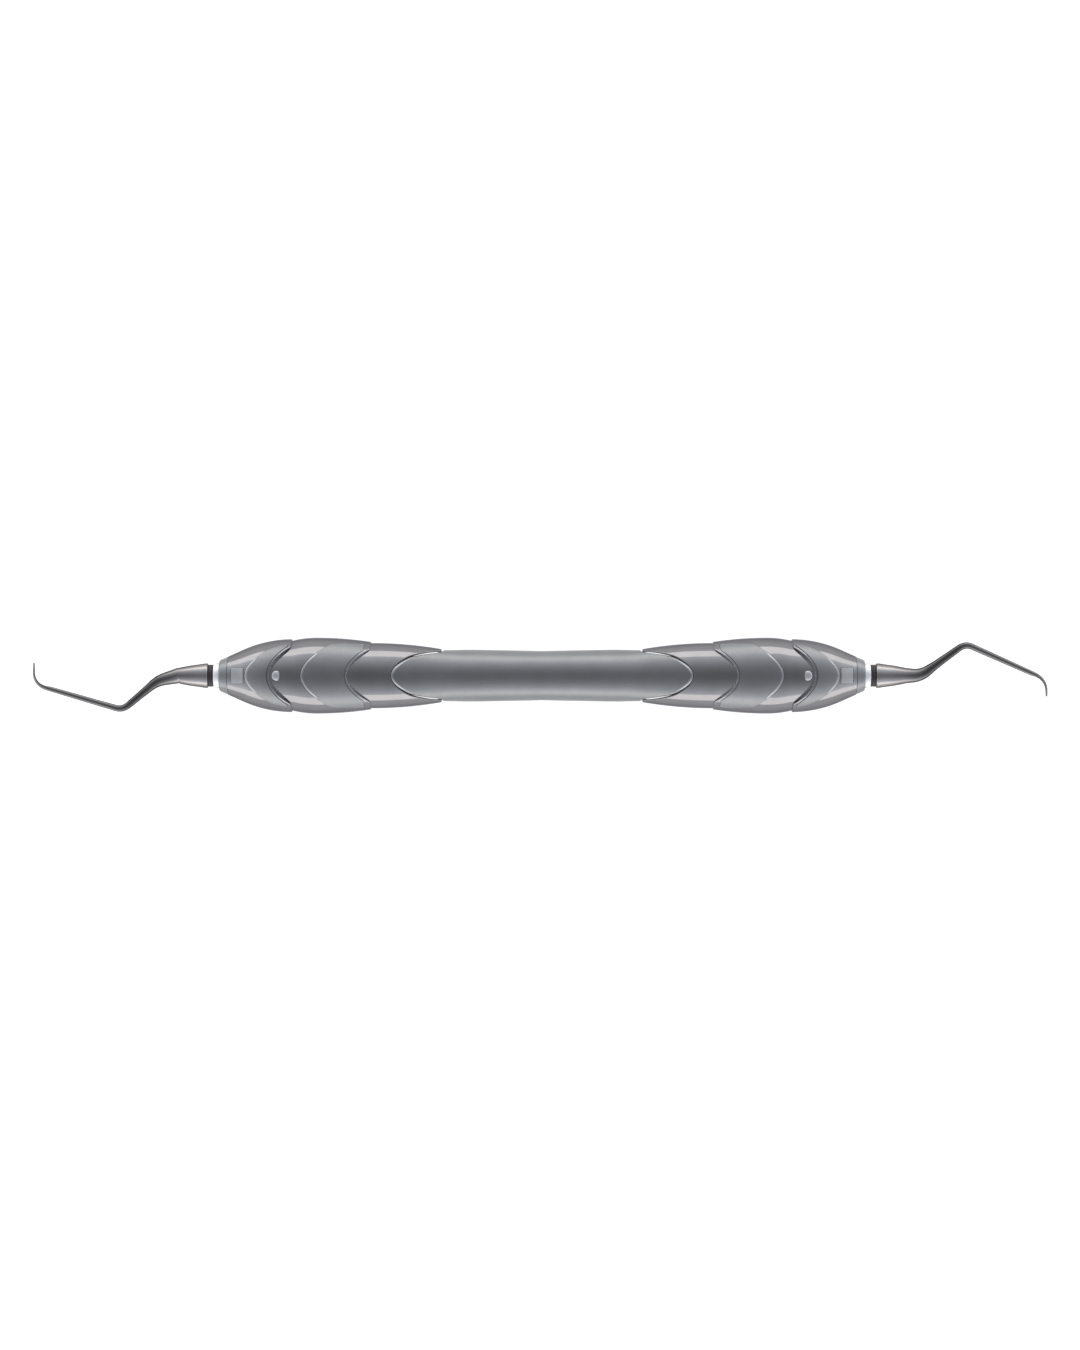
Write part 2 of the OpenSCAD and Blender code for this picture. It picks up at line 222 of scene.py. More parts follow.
def raised(line, h):
    return [(x, s, h) for x, s in line]


def inside(x, s, loop):
    hit = False
    for a, b in zip(loop, loop[1:] + loop[:1]):
        if (a[1] > s) != (b[1] > s) and x < a[0] + (s - a[1]) / (b[1] - a[1]) * (b[0] - a[0]):
            hit = not hit
    return hit


def fill(boundary, rows, spacing, height):
    """Triangles inside a closed boundary that keep the points and lines of the rows.

    rows holds (points, closed). Returns flat points, triangles, and where each point of
    the boundary went.
    """
    points, edges = list(boundary), [(i, (i + 1) % len(boundary)) for i in range(len(boundary))]
    for row, closed in rows:
        start = len(points)
        points += row
        edges += [(start + i, start + i + 1) for i in range(len(row) - 1)]
        if closed:
            edges.append((len(points) - 1, start))
    tree = KDTree(len(points))
    for i, p in enumerate(points):
        tree.insert((p[0], p[1], 0), i)
    tree.balance()
    x_low, x_high = min(p[0] for p in boundary), max(p[0] for p in boundary)
    s_low, s_high = min(p[1] for p in boundary), max(p[1] for p in boundary)
    row_gap = spacing * 0.866
    for i in range(int((x_high - x_low) / row_gap) + 1):
        x = x_low + (i + 0.5) * row_gap
        for k in range(int((s_high - s_low) / spacing) + 1):
            s = s_low + (k + 0.25 + 0.5 * (i % 2)) * spacing
            if tree.find((x, s, 0))[2] > 0.6 * spacing and inside(x, s, boundary):
                points.append((x, s, height(x, s)))
    flat = [Vector(p[:2]) for p in points]
    verts, _, faces, origin, _, _ = delaunay_2d_cdt(flat, edges, [], 1, 1e-5)
    went, out = {}, []
    for i, sources in enumerate(origin):
        h = points[sources[0]][2] if sources else 0.0
        out.append((verts[i].x, verts[i].y, h))
        for source in sources:
            went[source] = i
    return out, [tuple(f) for f in faces], [went[i] for i in range(len(boundary))]


# ---- skins ----


def straight_down(x, s, high, low, radius):
    """The flat point at height low that lies straight behind one at height high."""
    turn = s / REF
    y = (radius(x, turn) + high) * math.sin(turn)
    ratio = y / (radius(x, turn) + low)
    return x, REF * math.asin(ratio) if abs(ratio) < 1 else math.copysign(QUARTER, s)


def half_shell(edge, far_x, radius, rim, pockets=(), spacing=0.36, wall=WALL, far_wall=True):
    """One half of a ring: its skin, the wall at its free edge, and its lining.

    edge runs from the side at s = QUARTER to the other side. rim lists (distance, height)
    from the surface to the edge. Each pocket is (outline, depth).
    """
    count = len(edge) - 1
    far = [(far_x, QUARTER * (1 - 2 * i / count)) for i in range(count + 1)]
    inward = 1 if far_x > edge[0][0] else -1
    rows = [(raised(shifted(edge, inward * d), h), False) for d, h in rim[:-1]]
    free = raised(edge, rim[-1][1])

    def side_line(k):
        """The straight stretch at one side, from the far end to the rows of the rim."""
        near_x = rows[0][0][k][0]
        steps = max(2, round((far_x - near_x) / spacing))
        s = far[k][1]
        line = [(far_x + (near_x - far_x) * i / steps, s, 0.0) for i in range(1, steps)]
        return line + [row[k] for row, _ in rows]

    first, last = side_line(0), side_line(-1)
    boundary = raised(far, 0.0)[::-1] + first + free + last[::-1]
    for outline, depth in pockets:
        rows.append((raised(shifted(outline, -0.05, True), 0.0), True))
        rows.append((raised(shifted(outline, -0.02, True), -depth), True))

    def height(x, s):
        return next((-depth for outline, depth in pockets if inside(x, s, outline)), 0.0)

    points, faces, went = fill(boundary, rows, spacing, height)
    far_ids = went[: count + 1][::-1]
    start = count + 1 + len(first)
    loop = went[start : start + count + 1]
    foot = [straight_down(x, s, rim[-1][1], -wall, radius) for x, s in edge]
    lining_rows = 6
    for i in range(lining_rows + 1):
        t = i / lining_rows
        added = []
        for k in range(count + 1):
            x = foot[k][0] + t * (far_x - foot[k][0])
            s = foot[k][1] + t * (far[k][1] - foot[k][1])
            added.append(len(points))
            points.append((x, s, -wall))
        faces += [(loop[k], loop[k + 1], added[k + 1], added[k]) for k in range(count)]
        loop = added
    if far_wall:
        faces += [(loop[k], loop[k + 1], far_ids[k + 1], far_ids[k]) for k in range(count)]
    return points, faces


def plate(outline, rim, depth, spacing=0.3, weight=None):
    """A thin plate in the flat: a worked edge, a skin and a plain underside.

    rim lists (distance, height) from the skin to the edge. weight(x) scales the worked
    edge's width and drop at station x.
    """
    sizes = [weight(x) if weight else 1.0 for x, _ in outline]
    top = rim[0][1]

    def row(d, h):
        line = shifted(outline, [d * k for k in sizes], True)
        return [(x, s, top - (top - h) * k) for (x, s), k in zip(line, sizes)]

    rows = [(row(d, h), True) for d, h in rim[:-1]]
    points, faces, went = fill(row(*rim[-1]), rows, spacing, lambda x, s: top)
    under, under_faces, under_went = fill(raised(outline, -depth), [], 0.9, lambda x, s: -depth)
    start, n = len(points), len(outline)
    faces += [tuple(start + i for i in f) for f in under_faces]
    ring = [start + i for i in under_went]
    faces += [(went[k], went[(k + 1) % n], ring[(k + 1) % n], ring[k]) for k in range(n)]
    return points + under, faces


def quarter_round(width, drop, steps=5, guard=0.06):
    """Rows of a rounded edge, from the flat to the edge."""
    turns = [math.pi / 2 * i / steps for i in range(steps + 1)]
    rows = [(width * (1 - math.sin(a)), -drop * (1 - math.cos(a))) for a in turns]
    return [(width + guard, 0.0)] + rows


def chamfer(width, drop, top, lip=0.05):
    """Rows of a flat bright cut along an edge, with a small round on each side of it."""
    return [
        (width + 0.12, top), (width + 0.05, top), (width - 0.02, top - drop * 0.04),
        (lip + 0.03, top - drop * 0.93), (lip * 0.4, top - drop * 1.04), (0.0, top - drop * 1.3),
    ]


# ---- meshes ----


def put(x, s, h, radius):
    turn = s / REF
    r = radius(x, turn) + h
    return (x, r * math.sin(turn), r * math.cos(turn))


def make_object(name, copies, materials, body, slot, nodes, sharp=40):
    """One piece from copies of (points, faces, mirror), with its body and nodes. The slot argument
    is not used.

    A face is (corner indices, material index).
    """
    bm = bmesh.new()
    for points, faces, mirror in copies:
        verts = [bm.verts.new([c * m * MM for c, m in zip(p, mirror)]) for p in points]
        for corners, index in faces:
            if len(set(corners)) > 2:
                bm.faces.new([verts[i] for i in corners]).material_index = index
    bmesh.ops.remove_doubles(bm, verts=bm.verts, dist=2e-7)
    loose = [v for v in bm.verts if not v.link_faces]
    bmesh.ops.delete(bm, geom=loose, context="VERTS")
    bmesh.ops.recalc_face_normals(bm, faces=bm.faces)
    mesh = bpy.data.meshes.new(name)
    bm.to_mesh(mesh)
    bm.free()
    mesh.shade_smooth()
    mesh.set_sharp_from_angle(angle=math.radians(sharp))
    obj = bpy.data.objects.new(name, mesh)
    bpy.context.scene.collection.objects.link(obj)
    for material in materials:
        mesh.materials.append(material)
    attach(obj, body)
    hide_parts(*nodes)
    return obj


def wrapped(flat, radius, bright=None):
    """A flat skin on its turned surface.

    bright is (low, high, from_x): faces between these heights, from this station outwards,
    get the second material.
    """
    points, faces = flat
    marked = []
    for f in faces:
        x, h = (sum(points[i][k] for i in f) / len(f) for k in (0, 2))
        cut = bright and bright[0] < h < bright[1] and x > bright[2]
        marked.append((f, 1 if cut else 0))
    return [put(*p, radius) for p in points], marked


def lathe(profile, around=160, axis="X", centre=0.0):
    """A ring turned about X, or about Z at a place along X, from a closed (along, radius) line."""
    points, faces, n = [], [], len(profile)
    for k in range(around):
        a = 2 * math.pi * k / around
        for along, r in profile:
            turned = (along, r * math.sin(a), r * math.cos(a))
            if axis == "Z":
                turned = (centre + r * math.cos(a), r * math.sin(a), along)
            points.append(turned)
    for k in range(around):
        m = (k + 1) % around
        for i in range(n):
            j = (i + 1) % n
            faces.append(((k * n + i, k * n + j, m * n + j, m * n + i), 0))
    return points, faces


def rounded(corners, default=0.08, steps=4):
    """A closed line with each corner (a, b, round) replaced by an arc and a guard point."""
    out, n = [], len(corners)
    for i, corner in enumerate(corners):
        here = Vector(corner[:2])
        r = corner[2] if len(corner) > 2 else default
        before, after = Vector(corners[i - 1][:2]), Vector(corners[(i + 1) % n][:2])
        to_a, to_b = before - here, after - here
        cut = min(r, 0.45 * to_a.length, 0.45 * to_b.length)
        a, b = here + to_a.normalized() * cut, here + to_b.normalized() * cut
        out.append(here + to_a.normalized() * min(cut * 1.3, 0.49 * to_a.length))
        for k in range(steps + 1):
            t = k / steps
            out.append((1 - t) ** 2 * a + 2 * t * (1 - t) * here + t * t * b)
        out.append(here + to_b.normalized() * min(cut * 1.3, 0.49 * to_b.length))
    return [tuple(p) for p in out]


# ---- materials ----


def principled(name):
    material = bpy.data.materials.new(name)
    material.use_nodes = True
    return material, material.node_tree.nodes, material.node_tree.links


def surface(name, colour, roughness, metallic=1.0, grain=(9000, 9000, 9000), bump=0.15,
            tint=0.05, spread=0.06, lines=None, rim=(1, 1, 1), along=None):
    """A worked surface: grain in its relief and roughness, and slow drifts in its colour.

    grain is cells a metre along X, Y and Z, and lines is the same for a second, longer grain.
    rim tints the metal where it is seen at a grazing angle. along lists (station, share): the
    colour is multiplied by share at that distance from the middle.
    """
    material, nodes, links = principled(name)
    shader = nodes["Principled BSDF"]
    shader.inputs["Metallic"].default_value = metallic
    shader.inputs["Specular Tint"].default_value = (*rim, 1)
    place = nodes.new("ShaderNodeTexCoord")

    def noise(scale, detail):
        mapping = nodes.new("ShaderNodeMapping")
        mapping.inputs["Scale"].default_value = scale
        links.new(place.outputs["Object"], mapping.inputs["Vector"])
        texture = nodes.new("ShaderNodeTexNoise")
        texture.inputs["Scale"].default_value = 1.0
        texture.inputs["Detail"].default_value = detail
        links.new(mapping.outputs["Vector"], texture.inputs["Vector"])
        return texture.outputs["Fac"]

    def ranged(value, low, high):
        node = nodes.new("ShaderNodeMapRange")
        node.inputs["From Min"].default_value = 0.3
        node.inputs["From Max"].default_value = 0.7
        node.inputs["To Min"].default_value = low
        node.inputs["To Max"].default_value = high
        links.new(value, node.inputs["Value"])
        return node.outputs["Result"]

    fine = noise(grain, 3.0)
    cloud = noise((320, 320, 320), 4.0)
    mix = nodes.new("ShaderNodeMix")
    mix.data_type = "RGBA"
    mix.inputs["A"].default_value = (*[c * (1 - tint) for c in colour], 1)
    mix.inputs["B"].default_value = (*[min(1.0, c * (1 + tint)) for c in colour], 1)
    links.new(ranged(cloud, 0.0, 1.0), mix.inputs["Factor"])
    base = mix.outputs["Result"]
    if along:
        base = shaded_along(nodes, links, place.outputs["Object"], base, along)
    links.new(base, shader.inputs["Base Color"])
    mixed = fine
    if lines:
        blend = nodes.new("ShaderNodeMix")
        blend.inputs["Factor"].default_value = 0.6
        links.new(fine, blend.inputs["A"])
        links.new(noise(lines, 2.0), blend.inputs["B"])
        mixed = blend.outputs["Result"]
    links.new(ranged(mixed, roughness - spread, roughness + spread), shader.inputs["Roughness"])
    relief = nodes.new("ShaderNodeBump")
    relief.inputs["Strength"].default_value = bump
    relief.inputs["Distance"].default_value = 0.00002
    links.new(mixed, relief.inputs["Height"])
    links.new(relief.outputs["Normal"], shader.inputs["Normal"])
    return material


def shaded_along(nodes, links, place, base, along):
    """The colour base multiplied by a share that depends on the distance from the middle."""
    split = nodes.new("ShaderNodeSeparateXYZ")
    links.new(place, split.inputs["Vector"])
    size = nodes.new("ShaderNodeMath")
    size.operation = "ABSOLUTE"
    links.new(split.outputs["X"], size.inputs[0])
    low, high = along[0][0], along[-1][0]
    fit = nodes.new("ShaderNodeMapRange")
    fit.inputs["From Min"].default_value = low * MM
    fit.inputs["From Max"].default_value = high * MM
    links.new(size.outputs["Value"], fit.inputs["Value"])
    ramp = nodes.new("ShaderNodeValToRGB")
    stops = ramp.color_ramp.elements
    while len(stops) < len(along):
        stops.new(0.5)
    for stop, (x, share) in zip(stops, along):
        stop.position = (x - low) / (high - low)
        stop.color = (share, share, share, 1)
    links.new(fit.outputs["Result"], ramp.inputs["Fac"])
    product = nodes.new("ShaderNodeMix")
    product.data_type = "RGBA"
    product.blend_type = "MULTIPLY"
    product.inputs["Factor"].default_value = 1.0
    links.new(base, product.inputs["A"])
    links.new(ramp.outputs["Color"], product.inputs["B"])
    return product.outputs["Result"]


SATIN = surface("satin_metal", (0.22, 0.222, 0.226), 0.38, grain=(14000, 14000, 14000), bump=0.35,
                lines=(9000, 700, 700))
# Its grazing tint darkens the rings towards their outlines: a painted reflection of the shadowed
# floor beside the handle.
POLISHED = surface("polished_metal", (0.235, 0.228, 0.232), 0.1, spread=0.03, bump=0.05,
                   lines=(6000, 400, 400), rim=(0.45, 0.45, 0.47))
EDGE = surface("bright_cut_edge", (0.28, 0.285, 0.295), 0.28, spread=0.04, bump=0.05)
# The cut walls get a colour far lighter than their ring's own metal: painted light that lifts the
# dark the steps would show.
CUT_WALL_PAINTED_LIGHT = surface("cut_wall_painted_light", (0.7, 0.71, 0.73), 0.6, spread=0.04, bump=0.05)
BEZEL = surface("bezel_metal", (0.22, 0.224, 0.23), 0.34, spread=0.05, lines=(12000, 500, 500))
# Its near-black brownish grazing tint gives the collar dark edges where it turns away: a painted
# reflection.
COLLAR = surface("collar_steel", (0.88, 0.88, 0.88), 0.6, spread=0.03, bump=0.05,
                 lines=(14000, 600, 600), rim=(0.02, 0.01, 0.01))
BRIGHT = surface("bright_steel", (0.72, 0.72, 0.72), 0.2, spread=0.03, bump=0.05)
RUBBER = surface("seal_rubber", (0.02, 0.012, 0.014), 0.55, metallic=0.0, bump=0.4)
# These shares stand in for dark surroundings that the bent shank would mirror, not for a finish.
TIP_SHARES = [(55.0, 1.0), (58.0, 0.95), (61.0, 0.7), (64.5, 0.3), (69.0, 0.26), (72.0, 0.5),
              (86.0, 0.55)]
# Its dark grazing tint is a painted reflection of the shadowed floor beside the shank, like the
# shares above.
TIP_STEEL = surface("tip_steel", (0.33, 0.315, 0.31), 0.2, spread=0.06, bump=0.08,
                    lines=(900, 9000, 9000), rim=(0.14, 0.12, 0.12), along=TIP_SHARES)
PLATE = surface("etched_plate", (0.32, 0.32, 0.325), 0.42, spread=0.08, bump=0.5, tint=0.2,
                grain=(5200, 5200, 5200))
CORE = surface("core_metal", (0.5, 0.5, 0.5), 0.3, lines=(9000, 500, 500))


# ---- handle: sleeve, rings and leaves ----


def arch(apex, spread, w, out=0.0, count=40):
    """Half of a pointed arch, from its apex out to half width w, moved outwards by out.

    The arch is the line y^2 = spread * (apex - x).
    """
    points = []
    for i in range(count + 1):
        y = w * i / count
        slope = 2 * y / spread
        far = out / math.hypot(1, slope)
        points.append((apex - y * y / spread + far, y + far * slope))
    return points


def scallop(end_x, half, radius):
    """The free edge of a ring, from one side to the other, as an evenly spaced line.

    half is the plan of the scallop for y >= 0, from its apex to the ring's end.
    """
    half = [(end_x, QUARTER)] + to_flat(half[::-1], radius)
    half = spaced(half, 0.2)
    line = half + [(x, -s) for x, s in half[-2::-1]]
    return softened(line, 6)


def mirrored(half_line):
    """A closed outline from its half with s > 0, which starts and ends on s = 0."""
    return half_line + [(x, -s) for x, s in half_line[-2:0:-1]]


FLARE = (16.2, 4.2)            # a point on the straight flare of the inner scallop
INNER_SCALLOP = (25.2, 3.4)    # apex and spread, as for the other arches
TONGUE_W = 3.3
OUTER_SCALLOP = (32.55, 5.0)
NOSE_SCALLOP = (45.45, 6.4)
LEAF_RIM = 0.36                # rim of a ring between its scallop and its leaf
OUTER_TONGUE = (40.1, 5.5)
OUTER_LEAF_W = 5.2
OUTER_LEAF_END = 29.6
NOSE_TONGUE = (49.5, 4.6)
NOSE_LEAF_W = 4.55
NOSE_FOOT = (42.2, 5.25)


def inner_edge(gap=0.0):
    """Plan of the inner ring's scallop for y >= 0, or of the sleeve's tongue in it."""
    half = arch(*INNER_SCALLOP, TONGUE_W, -gap)
    slope = (FLARE[1] - TONGUE_W) / (half[-1][0] - FLARE[0])
    return half + [(INNER_LOW.x, half[-1][1] + slope * (half[-1][0] - INNER_LOW.x))]


def outer_edge(rim=0.0):
    apex, spread = OUTER_SCALLOP
    return arch(apex, spread, math.sqrt(spread * (apex - OUTER_LOW.x)), rim)


def nose_edge(rim=0.0):
    apex, spread = NOSE_SCALLOP
    return arch(apex, spread, math.sqrt(spread * (apex - NOSE_LOW.x)), rim)


def outer_leaf_outline():
    half = arch(*OUTER_TONGUE, OUTER_LEAF_W) + [(OUTER_LEAF_END, OUTER_LEAF_W)]
    half += [p for p in outer_edge(LEAF_RIM)[::-1] if p[0] > OUTER_LEAF_END]
    return mirrored_outline(half, outer_radius)


def nose_leaf_outline():
    foot_x, foot_w = NOSE_FOOT
    half = arch(*NOSE_TONGUE, NOSE_LEAF_W)
    slope = (foot_w - NOSE_LEAF_W) / (half[-1][0] - foot_x)

    def side(x):
        return foot_w - slope * (x - foot_x)

    inner = [p for p in nose_edge(LEAF_RIM)[::-1] if p[0] > foot_x and p[1] < side(p[0])]
    half.append((inner[0][0], side(inner[0][0])))
    return mirrored_outline(half + inner, nose_radius)


def mirrored_outline(half, radius, spacing=0.17, rounds=5):
    """A closed outline in the flat, counter-clockwise, with its corners rounded."""
    half = spaced(to_flat(half, radius), spacing)
    return softened(mirrored(half), rounds, True)


def turned_about(flat, side, face):
    points, faces = flat
    return points, faces, (side, 1, face)


def make_sleeve():
    edge = scallop(INNER_LOW.x, inner_edge(SLIP), sleeve_radius)
    rim = [(0.62, 0.0), (0.5, -0.005), (0.43, -0.02), (0.07, -0.19), (0.02, -0.23), (0.0, -0.3)]
    flat = half_shell(edge, 0.0, sleeve_radius, rim, far_wall=False)
    skin = wrapped(flat, sleeve_radius, bright=(-0.24, -0.004, 21.5))
    copies = [turned_about(skin, side, face) for side in (1, -1) for face in (1, -1)]
    make_object("grip_sleeve", copies, [SATIN, EDGE], "handle", "satin_steel", ["waist_sleeve"])


def make_rings():
    edge_rim = quarter_round(0.14, 0.14)
    # faces at these heights take the lighter wall colour, which is painted light
    wall = (0.01 - WALL, -0.2, 0.0)    # heights of the cut walls, below the pockets' floors
    shapes = {
        "inner_ring": (
            scallop(INNER_LOW.x, inner_edge(), inner_radius),
            INNER_HIGH.x, inner_radius, [], [],
        ),
        "outer_ring": (
            scallop(OUTER_LOW.x, outer_edge(), outer_radius),
            OUTER_HIGH.x, outer_radius, [(outer_leaf_outline(), LEAF_POCKET)], [],
        ),
        "nose_ring": (
            scallop(NOSE_LOW.x, nose_edge(), nose_radius),
            NOSE_HIGH.x, nose_radius, [(nose_leaf_outline(), LEAF_POCKET)],
            [(plate_outline(), PLATE_POCKET)],
        ),
    }
    for name, (edge, far_x, radius, pockets, front_only) in shapes.items():
        front = wrapped(half_shell(edge, far_x, radius, edge_rim, pockets + front_only),
                        radius, wall)
        back = front
        if front_only:
            back = wrapped(half_shell(edge, far_x, radius, edge_rim, pockets), radius, wall)
        for side_name, side in SIDES.items():
            node = f"{side_name}_{name}"
            copies = [turned_about(front, side, 1), turned_about(back, side, -1)]
            make_object(f"{node}_shell", copies, [POLISHED, CUT_WALL_PAINTED_LIGHT], "handle",
                        "polished_ring", [node])


def make_leaves():
    for name, outline, radius, tongue_x, drop in (
        ("outer_leaf", outer_leaf_outline(), outer_radius, 36.6, 0.11),
        ("nose_leaf", nose_leaf_outline(), nose_radius, 46.8, 0.07),
    ):
        rim = chamfer(0.36, drop, PROUD)
        flat = plate(outline, rim, LEAF_DEPTH, 0.3,
                     lambda x: 0.3 + 0.7 * smooth(tongue_x, tongue_x + 1.6, x))
        skin = wrapped(flat, radius, bright=(0.0, PROUD - 0.003, tongue_x + 0.8))
        for side_name, side in SIDES.items():
            for face_name, face in FACES.items():
                node = f"{side_name}_{name}_{face_name}"
                make_object(f"{node}_panel", [turned_about(skin, side, face)], [SATIN, EDGE],
                            "handle", "satin_steel", [node])


def plate_outline():
    low, high, w = PLATE_LOW.x, PLATE_HIGH.x, PLATE_HIGH.y
    half = to_flat([(high, 0), (high, w), (low, w), (low, 0)], nose_radius)
    return softened(mirrored(spaced(half, 0.12)), 3, True)


def make_small_parts():
    rim = [(0.1, 0.03), (0.06, 0.03), (0.03, 0.02), (0.012, 0.0), (0.0, -0.04)]
    code = wrapped(plate(plate_outline(), rim, PLATE_DEPTH, 0.2), nose_radius)
    centre = (PIN_LOW.x + PIN_HIGH.x) / 2
    points, faces = lathe(dome_profile(PIN_HIGH.z, PIN_HIGH.y), 48, "Z", centre)
    for side_name, side in SIDES.items():
        node = f"{side_name}_code_plate"
        make_object(f"{node}_inlay", [turned_about(code, side, 1)], [PLATE], "handle",
                    "satin_steel", [node])
        node = f"{side_name}_lock_pin"
        make_object(f"{node}_head", [(points, faces, (side, 1, 1))], [BRIGHT], "handle",
                    "bright_steel", [node])


def dome_profile(top, r, dome=0.14, edge=0.06, length=1.2):
    """A closed half outline (height, radius) of a domed pin, from the axis over the top."""
    ball = (r * r + dome * dome) / (2 * dome)
    cap = [(top - ball + math.sqrt(ball * ball - q * q), q)
           for q in (r * (1 - edge) * k / 8 for k in range(1, 9))]
    side = [(cap[-1][0] - edge * 0.6, r), (top - dome - 0.2, r), (top - length, r)]
    return [(top, 0.0)] + cap + side + [(top - length, 0.0)]


def make_end_rings():
    low_r, high_r = BEZEL_HIGH.y, nose_radius(BEZEL_HIGH.x) + 0.06
    bezel_bore, socket_r, stud_bore, seal_bore = 1.83, 1.8, 1.3, 1.45
    bezel = [
        (BEZEL_LOW.x, bezel_bore, 0.02), (BEZEL_LOW.x, low_r - 0.1, 0.1),
        (BEZEL_LOW.x + 0.12, low_r, 0.06), (BEZEL_HIGH.x - 0.12, high_r, 0.12),
        (BEZEL_HIGH.x, high_r - 0.16, 0.1), (BEZEL_HIGH.x, bezel_bore, 0.05),
    ]
    collar_r = SOCKET_HIGH.y
    socket = [
        (SOCKET_LOW.x, stud_bore, 0.05), (SOCKET_LOW.x, socket_r, 0.05),
        (BEZEL_HIGH.x, socket_r, 0.02),
        (BEZEL_HIGH.x, collar_r, 0.03), (SOCKET_HIGH.x, collar_r, 0.16),
        (SOCKET_HIGH.x, stud_bore, 0.1),
    ]
    seal = [
        (SEAL_LOW.x, seal_bore, 0.05), (SEAL_LOW.x, SEAL_HIGH.y, 0.2),
        (SEAL_HIGH.x, SEAL_HIGH.y, 0.2), (SEAL_HIGH.x, seal_bore, 0.05),
    ]
    for name, corners, material, slot, moves in (
        ("bezel", bezel, BEZEL, "bezel_steel", False),
        ("socket", socket, COLLAR, "bright_steel", False),
        ("seal_ring", seal, RUBBER, "seal_rubber", True),
    ):
        points, faces = lathe(rounded(corners))
        for side_name, side in SIDES.items():
            body = f"{side_name}_seal" if moves else "handle"
            node = f"{side_name}_{name}"
            make_object(f"{node}_turned", [(points, faces, (side, 1, 1))], [material], body,
                        slot, [node])


# ---- tips ----

ROUTES = {
    "left": [(60.9, 0, 0), (64.4, -0.85, 0), (70.35, -5.75, -0.8), (84.95, -1.45, 0.5),
             (84.85, 2.1, 1.3)],
    "right": [(60.9, 0, 0), (63.4, 0, 0), (70.8, 5.35, 0.8), (84.45, -0.65, -0.5),
              (84.6, -3.45, -1.3)],
}
CORNER_CUTS = (1.4, 1.3, 2.2)
SHANK_RADII = [(0, 1.3), (3, 0.98), (5.5, 0.72), (10, 0.58), (13, 0.52), (24, 0.4), (27, 0.3),
               (31, 0.1)]
BLADE = (23.0, 27.0)           # distances at which the blade starts and is full
BLADE_FACE = 0.25
BLADE_BACK = 0.3
CONE = [(55.9, 1.93), (55.95, 2.0), (56.02, 2.05), (56.4, 2.05), (57.4, 1.9), (58.4, 1.77),
        (59.4, 1.61), (60.2, 1.45), (60.9, 1.31)]
THREAD = (0.45, 0.14)          # pitch and depth
STUD = (45.5, 54.95, 1.25)     # ends and radius
NECK_R = 1.4
TIP_SIDES = 40                 # points round the stud, the cone and the shank


def eased(table, at):
    """A smooth line through a table of (place, value)."""
    places = [p for p, _ in table]
    if at <= places[0]:
        return table[0][1]
    if at >= places[-1]:
        return table[-1][1]
    k = max(i for i, p in enumerate(places) if p <= at)
    (x0, y0), (x1, y1) = table[k], table[k + 1]

    def slope(i):
        if i in (0, len(table) - 1):
            j = min(i, len(table) - 2)
            return (table[j + 1][1] - table[j][1]) / (table[j + 1][0] - table[j][0])
        return (table[i + 1][1] - table[i - 1][1]) / (table[i + 1][0] - table[i - 1][0])

    w = x1 - x0
    t = (at - x0) / w
    a, b = slope(k) * w, slope(k + 1) * w
    return (
        (2 * t**3 - 3 * t**2 + 1) * y0 + (t**3 - 2 * t**2 + t) * a
        + (3 * t**2 - 2 * t**3) * y1 + (t**3 - t**2) * b
    )


def route_points(route):
    corners = [Vector(p) for p in route]
    line = [corners[0]]
    for k in (1, 2, 3):
        here, cut = corners[k], CORNER_CUTS[k - 1]
        a = here + cut * (corners[k - 1] - here).normalized()
        b = here + cut * (corners[k + 1] - here).normalized()
        run = (a - line[-1]).length
        pieces = max(2, round(run / 0.5))
        line += [line[-1].lerp(a, i / pieces) for i in range(1, pieces)]
        bend = [i / 20 for i in range(21)]
        line += [(1 - t) ** 2 * a + 2 * t * (1 - t) * here + t * t * b for t in bend]
    line += [line[-1].lerp(corners[4], t) for t in (0.2, 0.4, 0.6, 0.75, 0.88, 0.96, 1.0)]
    return line


def shank_rings(route, inner, sides):
    """Cross-sections down the shank: round, then a blade with a flat face on its inner side."""
    line, rings, s = route_points(route), [], 0.0
    for i, here in enumerate(line):
        if i:
            s += (here - line[i - 1]).length
        heading = (line[min(i + 1, len(line) - 1)] - line[max(i - 1, 0)]).normalized()
        side = inner * heading.cross(Vector((0, 0, 1))).normalized()
        up = side.cross(heading)
        r = eased(SHANK_RADII, s)
        blade = smooth(*BLADE, s)
        face = 1 - blade * (1 - BLADE_FACE)
        ring = []
        for k in range(sides):
            a = 2 * math.pi * k / sides
            across = min(math.cos(a), face)
            narrow = 1 - blade * BLADE_BACK * max(0.0, -across)
            ring.append(here + r * across * side + r * math.sin(a) * narrow * up)
        rings.append(ring)
    return rings


def on_axis(x, r, a, inner):
    """A point round the X axis, at the same place as on the first ring of the shank."""
    return Vector((x, -inner * r * math.cos(a), inner * r * math.sin(a)))


def turned_rings(stations, inner, sides):
    turns = [2 * math.pi * k / sides for k in range(sides)]
    return [[on_axis(x, r, a, inner) for a in turns] for x, r in stations]


def thread_rings(side, inner, sides, rows=9):
    """The right-hand screw thread of the stud, with its run-outs at both ends."""
    pitch, depth = THREAD
    start, end, r = STUD
    rings = []
    steps = int((end - start) / pitch * rows)
    for i in range(steps + 1):
        x = start + (end - start) * i / steps
        cut = smooth(start, start + 0.5, x) * smooth(end - 0.1, end - 0.9, x)
        lead = 0.25 * (1 - smooth(start, start + 0.3, x))
        ring = []
        for k in range(sides):
            a = 2 * math.pi * k / sides
            place = (x / pitch + side * k / sides) % 1
            groove = max(0.0, 1 - abs(place - 0.5) / 0.42)
            q = r - lead - depth * cut * groove
            ring.append(on_axis(x, q, a, inner))
        rings.append(ring)
    return rings


